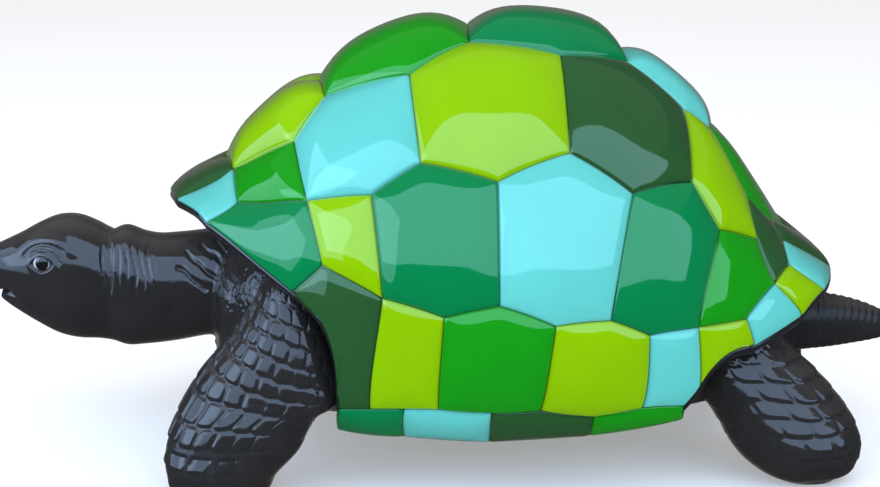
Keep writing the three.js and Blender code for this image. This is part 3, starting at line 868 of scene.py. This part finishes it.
def leg_relief(rings, side, scales, toe_row):
    """Depth below the smooth leg of its scales, toes and rough upper skin, and of the grooves alone."""
    steps = np.linalg.norm(np.roll(rings, -1, 1) - rings, axis=-1)
    share = np.concatenate((np.zeros((len(rings), 1)), np.cumsum(steps, 1)[:, :-1]), 1)
    share /= steps.sum(1, keepdims=True)
    x, z = rings[..., 0], rings[..., 2]
    behind = x - x.mean(1, keepdims=True)
    clear = window(behind, *scales["clear"], CLEAR_FADE)
    slant = scales["slant"] * smoothstep(*SLANT_SETS_IN, z)
    wave = waviness(rings.reshape(-1, 3), ROW_WAVE_SPACING, side).reshape(z.shape)
    along = z - scales["start"] + slant * behind + scales["wave"] * wave
    tops, up = scale_tops(share, along, scales["around"], scales["height"], side + 3)
    creases = 1 - tops
    leaning = scales["tilt"] * tops * (1 + up) / 2
    above_end = z - scales["end"]
    shown = smoothstep(-START_FADE, 0, along) * (1 - smoothstep(*END_FADE, above_end))
    shown *= lerp(FAINTEST, 1, clear)
    toes, toe_up = toe_tops(share, z, toe_row)
    in_row = (1 - shown) * clear * (1 - smoothstep(0, TOE_FADE, z - scales["start"]))
    toe_creases = in_row * (1 - toes)
    depth = SCALE_DEPTH * (shown * creases + toe_creases)
    depth += shown * leaning + in_row * TOE_TILT * toes * toe_up
    groove_share = shown * creases + toe_creases * smoothstep(-SOLE_FADE, 0, z - toe_row[1])
    rough = smoothstep(*ROUGH_SETS_IN, above_end) * lerp(1, ROUGH_BETWEEN_SCALES, shown)
    return depth + rough_skin(rings, rough), groove_share


def ridge_valleys(phase, spacing, width):
    """Valleys a spacing apart along a phase given in millimetres."""
    place = phase / spacing
    return groove((place - np.round(place)) * spacing, width)


def neck_folds(points):
    """Depth of the ridges and folds of the neck and the rough skin behind them."""
    x, y, z = points.T
    on_neck = 1 - smoothstep(*NECK_REACH, np.abs(outside_of(points, HEAD, LIMB_SQUARENESS)))
    # Slow waves, so that no ridge or fold runs straight
    sway = 3.5 * np.sin(z / 19 + x / 31) + 1.4 * np.sin(z / 8 + x / 9)
    uneven = 0.75 + 0.25 * np.sin(x / 5.3) * np.cos(z / 13)
    ridges = uneven * ridge_valleys(x + sway, RIDGE_SPACING, RIDGE_WIDTH)
    strength = smoothstep(*RIDGES_START_UP, z) * (1 - smoothstep(*RIDGES_END_UP, z))
    depth = RIDGE_DEPTH * strength * ridges * window(x, *RIDGES_ALONG) * on_neck
    flat = np.column_stack((x, z))
    wander = np.column_stack((np.zeros(len(z)), 1.6 * np.sin(x / 7) + 0.8 * np.sin(x / 3.1)))
    for line, deep, half_width in NECK_FOLDS:
        away = line_distance(flat + wander, np.array(line, float))
        depth = np.maximum(depth, deep * groove(away, half_width))
    rough = smoothstep(*ROUGH_NECK_ALONG, x + ROUGH_NECK_LEAN * (z - ROUGH_NECK_HEIGHT))
    rough = rough * smoothstep(*ROUGH_NECK_OUT, np.abs(y))
    return depth + rough_skin(points, rough)


def mouth_depth(points):
    """Depth of the mouth line, which dips and opens at the front of the beak."""
    x, y, z = points.T
    dip = MOUTH_DIP * (1 - np.minimum(np.abs(y) / MOUTH_DIP_REACH, 1))
    away = line_distance(np.column_stack((x, z + dip)), np.array(MOUTH_LINE, float))
    front = 1 - smoothstep(*MOUTH_FRONT, x)
    ends = 1 - smoothstep(*MOUTH_END, x)
    return lerp(*MOUTH_DEPTHS, front) * groove(away, lerp(*MOUTH_WIDTHS, front)) * ends


def head_relief(points):
    """How far the head's features stand out of the smooth head, in millimetres."""
    x, y, z = points.T
    side = smoothstep(*SIDE_OUT, np.abs(y))
    dx, dz = x - EYE[0], z - EYE[2]
    n = LID_ROUNDNESS
    share = (np.abs(dx / EYE_HALF_WIDTH) ** n + np.abs(dz / EYE_HALF_HEIGHT) ** n) ** (1 / n)
    rim_place, rim_width, rim_height = LID_RIM
    *hollow_wall, hollow_depth = EYE_HOLLOW
    rise = rim_height * groove(share - rim_place, rim_width)
    rise -= hollow_depth * (1 - smoothstep(*hollow_wall, share))
    for (along, up), (half_width, half_height), place, width, height, above, lean in EYE_ARCHES:
        oval = np.hypot((dx - along) / half_width, (dz - up) / half_height)
        rise += height * groove(oval - place, width) * smoothstep(*above, dz + lean * dx)
    for (dent_x, dent_z), (half_width, half_height), deep in DENTS:
        rise -= deep * groove(np.hypot((x - dent_x) / half_width, (z - dent_z) / half_height), 1)
    nape = groove(x - NAPE_X + 2 * np.sin(z / 19), NAPE_WIDTH) * smoothstep(*NAPE_UP, z)
    rise = rise * side - NAPE_DEPTH * nape
    nostril = groove(np.hypot(x - NOSTRIL[0], z - NOSTRIL[1]), NOSTRIL_RADIUS)
    rise -= NOSTRIL_DEPTH * nostril * smoothstep(*NOSTRIL_OUT, np.abs(y))
    return (rise - mouth_depth(points)) * (1 - smoothstep(*HEAD_END, x))


def head_and_neck_relief(points):
    """How far head and neck stand out of the smooth form, below 0 in their creases."""
    return head_relief(points) - neck_folds(points)


def tail_relief(points):
    """The rings round the tail and the rough skin of the rump, sunk below the smooth form."""
    x, y, z = points.T
    # Slow waves, so that no ring runs straight
    sway = 2 * np.sin(z / 7) + 1.2 * np.sin(y / 9)
    depth = TAIL_RING_DEPTH * ridge_valleys(x + sway, TAIL_RING_SPACING, TAIL_RING_WIDTH)
    depth *= window(x, *TAIL_RINGS_ALONG)
    depth *= lerp(TAIL_RINGS_BELOW, 1, smoothstep(*TAIL_RINGS_UP, z))
    return -depth - rough_skin(points, 1 - smoothstep(*ROUGH_RUMP_END, x))


def keep_upward(mesh):
    """Notes at each vertex how far it faces up, where the paint takes a painted reflection of the room
    above.
    """
    upward = mesh.attributes.new("upward", "FLOAT", "POINT")
    upward.data.foreach_set("value", np.clip(vertex_values(mesh, "normal")[:, 2], 0, 1))


def cut_flat(bm, place, side):
    """Cuts away what the shell hides beyond a place along X, and closes the cut."""
    everything = bm.verts[:] + bm.edges[:] + bm.faces[:]
    bmesh.ops.bisect_plane(bm, geom=everything, plane_co=(place, 0, 0), plane_no=(side, 0, 0),
                           clear_outer=True)
    bmesh.ops.edgeloop_fill(bm, edges=[edge for edge in bm.edges if edge.is_boundary])


def make_skin(name, limb, cut_place, cut_side, relief, material):
    """The body with its head or tail as one skin: joined lofts, smoothed, then carved."""
    bm = bmesh.new()
    add_rings(bm, loft_rings(TORSO, TORSO_SQUARENESS, BODY_STEP, BODY_SIDES))
    add_rings(bm, loft_rings(limb, LIMB_SQUARENESS, BODY_STEP, BODY_SIDES))
    cut_flat(bm, cut_place + cut_side * CUT_ALLOWANCE, cut_side)
    mesh = remeshed(bm, name, SKIN_VOXEL)
    bm = bmesh.new()
    bm.from_mesh(mesh)
    cut_flat(bm, cut_place, cut_side)
    bm.to_mesh(mesh)
    bm.free()
    points = smoothed(mesh, vertex_values(mesh, "co"), *SKIN_SMOOTHING)
    body = outside_of(points, TORSO, TORSO_SQUARENESS)
    corner = groove(np.hypot(body, outside_of(points, limb, LIMB_SQUARENESS)), JOIN_WIDTH)
    rounds, weight = JOIN_SMOOTHING
    points = smoothed(mesh, points, rounds, weight * corner[:, None])
    put_positions(mesh, points)
    rise = relief(points)
    points = points + rise[:, None] * vertex_values(mesh, "normal")
    put_positions(mesh, points * MM)
    depth = mesh.attributes.new("groove", "FLOAT", "POINT")
    depth.data.foreach_set("value", np.clip(-rise / SCALE_DEPTH, 0, 1))
    keep_upward(mesh)
    return finish_piece(mesh, name, [material])


def make_leg(name, rows, side, scales, toe_row, material):
    """A leg with its scales and toes carved in, its sole kept flat on the ground."""
    rings = loft_rings(rows, LIMB_SQUARENESS, LEG_STEP, LEG_SIDES, side)
    depth, groove_share = leg_relief(rings, side, scales, toe_row)
    carved = rings - depth[..., None] * ring_normals(rings)
    carved[0, :, 2] = rings[0, :, 2]
    bm = bmesh.new()
    add_rings(bm, carved, groove_share)
    bmesh.ops.recalc_face_normals(bm, faces=bm.faces)
    leg = finish_mesh(bm, name, [material])
    keep_upward(leg.data)
    return leg


def make_eyes(material):
    """Both eyeballs; each vertex notes how far from the pupil's middle it lies, 1 being its edge."""
    bm = bmesh.new()
    pupil_layer = bm.verts.layers.float.new("from_pupil")
    around, up = EYE_DIVISIONS
    for side in (-1, 1):
        ball = bmesh.ops.create_uvsphere(bm, u_segments=around, v_segments=up, radius=EYE_RADIUS)["verts"]
        for vert in ball:
            facing = side * vert.co.y > 0
            away = math.hypot(vert.co.x / PUPIL[0], (vert.co.z - PUPIL_UP) / PUPIL[1])
            vert[pupil_layer] = away if facing else 2
        middle_y = side * (EYE[1] + EYE_STANDS_OUT - EYE_RADIUS)
        bmesh.ops.translate(bm, vec=(EYE[0], middle_y, EYE[2]), verts=ball)
    return finish_mesh(bm, "eyes", [material])


def make_belly_plate(materials):
    """The plate under the belly: one grid, rounded in plan, with its seams sunk and a thickness."""
    bm = bmesh.new()
    lengthways, across = BELLY_DIVISIONS
    bmesh.ops.create_grid(bm, x_segments=lengthways, y_segments=across, size=1)
    flat = np.array([vert.co.xy for vert in bm.verts])
    u, v = flat.T
    x = BELLY_MIDDLE[0] + BELLY_HALF[0] * u * (1 - BELLY_ROUNDING * v * v)
    y = BELLY_MIDDLE[1] + BELLY_HALF[1] * v * (1 - BELLY_ROUNDING * u * u)
    table = np.array(TORSO, float)
    half, low, wide = (smooth_value(table[:, 0], table[:, k], x) for k in (1, 2, 4))
    share = np.clip(np.abs(y) / half, 0, BODY_SIDE_END) ** TORSO_SQUARENESS
    body = wide - (wide - low) * (1 - share) ** (1 / TORSO_SQUARENESS) - BELLY_OFF_BODY
    z = lerp(body, np.minimum(body, BELLY_PLATE_Z), window(x, *BELLY_LEVEL))
    bent = x - BELLY_SEAM_BEND * (1 - np.cos(2.4 * v))
    seam = np.abs(y)
    for place in BELLY_SEAMS:
        seam = np.minimum(seam, np.abs(bent - place))
    z += BELLY_SEAM_DEPTH * groove(seam, BELLY_SEAM_WIDTH)
    z -= BELLY_SWELL * smoothstep(0, BELLY_SWELL_REACH, seam)
    z += BELLY_EDGE_UP * smoothstep(BELLY_EDGE_START, 1, np.maximum(np.abs(u), np.abs(v)))
    seam_layer = bm.verts.layers.float.new("seam")
    for vert, *place, distance in zip(bm.verts, x, y, z, seam):
        vert.co = place
        vert[seam_layer] = min(distance / SEAM_REACH, 1)
    extruded = bmesh.ops.extrude_face_region(bm, geom=bm.faces[:])["geom"]
    top = [item for item in extruded if isinstance(item, bmesh.types.BMVert)]
    bmesh.ops.translate(bm, vec=(0, 0, BELLY_THICKNESS), verts=top)
    bmesh.ops.recalc_face_normals(bm, faces=bm.faces)
    return finish_mesh(bm, "belly_plate", materials)


def new_material(name):
    """A new material, its node tree and its shader."""
    material = bpy.data.materials.new(name)
    material.use_nodes = True
    return material, material.node_tree, material.node_tree.nodes["Principled BSDF"]


def attribute_value(tree, name):
    """The value that a piece keeps at its vertices under a name."""
    node = tree.nodes.new("ShaderNodeAttribute")
    node.attribute_name = name
    return node.outputs["Fac"]


def cloud_value(tree, scale, detail):
    """Cloudy unevenness fixed to the piece."""
    place = tree.nodes.new("ShaderNodeTexCoord")
    node = tree.nodes.new("ShaderNodeTexNoise")
    node.inputs["Scale"].default_value = scale
    node.inputs["Detail"].default_value = detail
    tree.links.new(place.outputs["Object"], node.inputs["Vector"])
    return node.outputs["Fac"]


def ranged(tree, value, start=(0, 1), end=(0, 1), eased=False):
    """A value taken from one range to another."""
    node = tree.nodes.new("ShaderNodeMapRange")
    if eased:
        node.interpolation_type = "SMOOTHSTEP"
    node.inputs["From Min"].default_value, node.inputs["From Max"].default_value = start
    node.inputs["To Min"].default_value, node.inputs["To Max"].default_value = end
    tree.links.new(value, node.inputs["Value"])
    return node.outputs["Result"]


def mixed(tree, share, *colours):
    """Two colours mixed by a share; each is a plain colour or comes from another node."""
    node = tree.nodes.new("ShaderNodeMix")
    node.data_type = "RGBA"
    tree.links.new(share, node.inputs[0])
    for socket, colour in zip(node.inputs[6:8], colours):
        if isinstance(colour, tuple):
            socket.default_value = colour
        else:
            tree.links.new(colour, socket)
    return node.outputs[2]


def shaded(colour, share):
    """A colour made darker or lighter by a share, as an opaque colour."""
    return (*[min(share * c, 1) for c in colour], 1)


def lacquer(name, colour):
    """Painted and clear-lacquered glass fibre, darkened in its seams by painted shade and dirt."""
    material, tree, shader = new_material(name)
    shader.inputs["Coat Weight"].default_value = 1
    shader.inputs["Coat Roughness"].default_value = 0.03
    grey = REFLECTION_GREY
    tint = [grey + (1 - grey) * c / max(colour) for c in colour]
    shader.inputs["Specular Tint"].default_value = (*tint, 1)
    cloud = cloud_value(tree, *PAINT_CLOUDS)
    # Painted shade and dirt: the paint darkens toward each seam
    shade_and_dirt_end = [distance / SEAM_REACH for distance in SEAM_SHADE_AND_DIRT_END]
    out_of_seam_shade = ranged(tree, attribute_value(tree, "seam"), shade_and_dirt_end, eased=True)
    paint = mixed(tree, cloud, *[shaded(colour, share) for share in PAINT_SHADES])
    seam_shaded_paint = mixed(tree, out_of_seam_shade, shaded(colour, SEAM_SHADE_AND_DIRT_SHARE), paint)
    tree.links.new(seam_shaded_paint, shader.inputs["Base Color"])
    dullness = ranged(tree, cloud, end=PAINT_DULLNESS)
    tree.links.new(dullness, shader.inputs["Roughness"])
    return material


def skin_paint(name, coat, finest, dullest):
    """Black lacquer over the cast skin: glossy on the scales, duller down in the creases."""
    material, tree, shader = new_material(name)
    shader.inputs["Coat Weight"].default_value = coat
    shader.inputs["Coat Roughness"].default_value = 0.04
    shader.inputs["Specular IOR Level"].default_value = 0.25
    black = mixed(tree, cloud_value(tree, *SKIN_CLOUDS), SKIN_BLACK, SKIN_WORN)
    # Painted reflection: faces that look up are lightened toward brown, as the room above would show in
    # them
    top_reflection_share = ranged(tree, attribute_value(tree, "upward"), TOP_REFLECTION_SETS_IN, eased=True)
    tree.links.new(mixed(tree, top_reflection_share, black, SKIN_PAINTED_TOP_REFLECTION), shader.inputs["Base Color"])
    dullness = ranged(tree, attribute_value(tree, "groove"), end=(finest, dullest))
    tree.links.new(dullness, shader.inputs["Roughness"])
    bump = tree.nodes.new("ShaderNodeBump")
    bump.inputs["Strength"].default_value = PORE_STRENGTH
    bump.inputs["Distance"].default_value = PORE_DEPTH
    tree.links.new(cloud_value(tree, *SKIN_PORES), bump.inputs["Height"])
    for socket in ("Normal", "Coat Normal"):
        tree.links.new(bump.outputs["Normal"], shader.inputs[socket])
    return material


def eye_paint():
    """Glossy white eye with a black pupil."""
    material, tree, shader = new_material("painted eye")
    shader.inputs["Roughness"].default_value = 0.08
    shader.inputs["Coat Weight"].default_value = 1
    shader.inputs["Coat Roughness"].default_value = 0.02
    outside_pupil = ranged(tree, attribute_value(tree, "from_pupil"), PUPIL_EDGE)
    tree.links.new(mixed(tree, outside_pupil, PUPIL_BLACK, EYE_WHITE), shader.inputs["Base Color"])
    return material


def make_camera():
    """The photograph's viewpoint: square to the side and a little above level."""
    data = bpy.data.cameras.new("camera")
    data.sensor_width = SENSOR_WIDTH
    data.lens = FOCAL_PIXELS * SENSOR_WIDTH / PICTURE_WIDTH
    camera = bpy.data.objects.new("camera", data)
    back = Vector((0, -math.cos(CAMERA_RISE), math.sin(CAMERA_RISE)))
    camera.location = (Vector(CAMERA_TARGET) + back * CAMERA_DISTANCE) * MM
    camera.rotation_euler = (math.pi / 2 - CAMERA_RISE, 0, 0)
    bpy.context.scene.collection.objects.link(camera)
    bpy.context.scene.camera = camera


def add_panel(name, place, aim, width, height, watts, colour, reflected):
    """A plain soft light panel at a place, facing another."""
    data = bpy.data.lights.new(name, "AREA")
    data.shape = "RECTANGLE"
    data.size = width
    data.size_y = height
    data.energy = watts
    data.color = colour
    panel = bpy.data.objects.new(name, data)
    panel.location = place
    panel.rotation_euler = (Vector(aim) - Vector(place)).to_track_quat("-Z", "Y").to_euler()
    panel.visible_glossy = reflected
    bpy.context.scene.collection.objects.link(panel)


def make_floor():
    """A plain pale floor that glows a little, so that the feet stand in light."""
    bm = bmesh.new()
    bmesh.ops.create_grid(bm, x_segments=1, y_segments=1, size=FLOOR_HALF)
    mesh = bpy.data.meshes.new("floor")
    bm.to_mesh(mesh)
    bm.free()
    floor = bpy.data.objects.new("floor", mesh)
    bpy.context.scene.collection.objects.link(floor)
    material, _, shader = new_material("pale floor")
    shader.inputs["Base Color"].default_value = FLOOR_COLOUR
    shader.inputs["Roughness"].default_value = FLOOR_ROUGHNESS
    shader.inputs["Emission Color"].default_value = (1, 1, 1, 1)
    shader.inputs["Emission Strength"].default_value = FLOOR_GLOW
    mesh.materials.append(material)
    floor.visible_glossy = False


def make_room():
    """The plain room: the light that it gives, what the lacquer reflects of it, and the backdrop."""
    world = bpy.data.worlds.new("studio")
    world.use_nodes = True
    tree = world.node_tree
    direction = tree.nodes.new("ShaderNodeTexCoord")
    toward = tree.nodes.new("ShaderNodeVectorMath")
    toward.operation = "DOT_PRODUCT"
    toward.inputs[1].default_value = DISTANCE_DIRECTION
    tree.links.new(direction.outputs["Generated"], toward.inputs[0])
    distance = ranged(tree, toward.outputs["Value"], DISTANCE_SETS_IN)
    surroundings = mixed(tree, distance, REFLECTED_ROOM, REFLECTED_DISTANCE)
    ray = tree.nodes.new("ShaderNodeLightPath")
    lighting = mixed(tree, ray.outputs["Is Glossy Ray"], AMBIENT, surroundings)
    seen = mixed(tree, ray.outputs["Is Camera Ray"], lighting, BACKDROP)
    tree.links.new(seen, tree.nodes["Background"].inputs["Color"])
    bpy.context.scene.world = world
    bpy.context.scene.view_settings.view_transform = "Standard"


make_camera()
paints = [lacquer(name + " paint", PAINT_COLOURS[name]) for name in PAINTS]
make_shell(paints)
skin = skin_paint("black skin paint", coat=1, finest=0.1, dullest=0.5)
tail_skin = skin_paint("worn black tail paint", coat=0.15, finest=0.32, dullest=0.55)
make_skin("head_and_neck", HEAD, CHEST_END, 1, head_and_neck_relief, skin)
make_skin("tail_and_rump", TAIL, RUMP_START, -1, tail_relief, tail_skin)
for side, side_name in ((-1, "near"), (1, "far")):
    make_leg("front_leg_" + side_name, FRONT_LEG, side, FRONT_SCALES, FRONT_TOES, skin)
    make_leg("hind_leg_" + side_name, HIND_LEG, side, HIND_SCALES, HIND_TOES, skin)
make_eyes(eye_paint())
make_belly_plate([paints[PAINTS.index("forest")]])
make_floor()
make_room()
for panel in PANELS:
    add_panel(*panel)
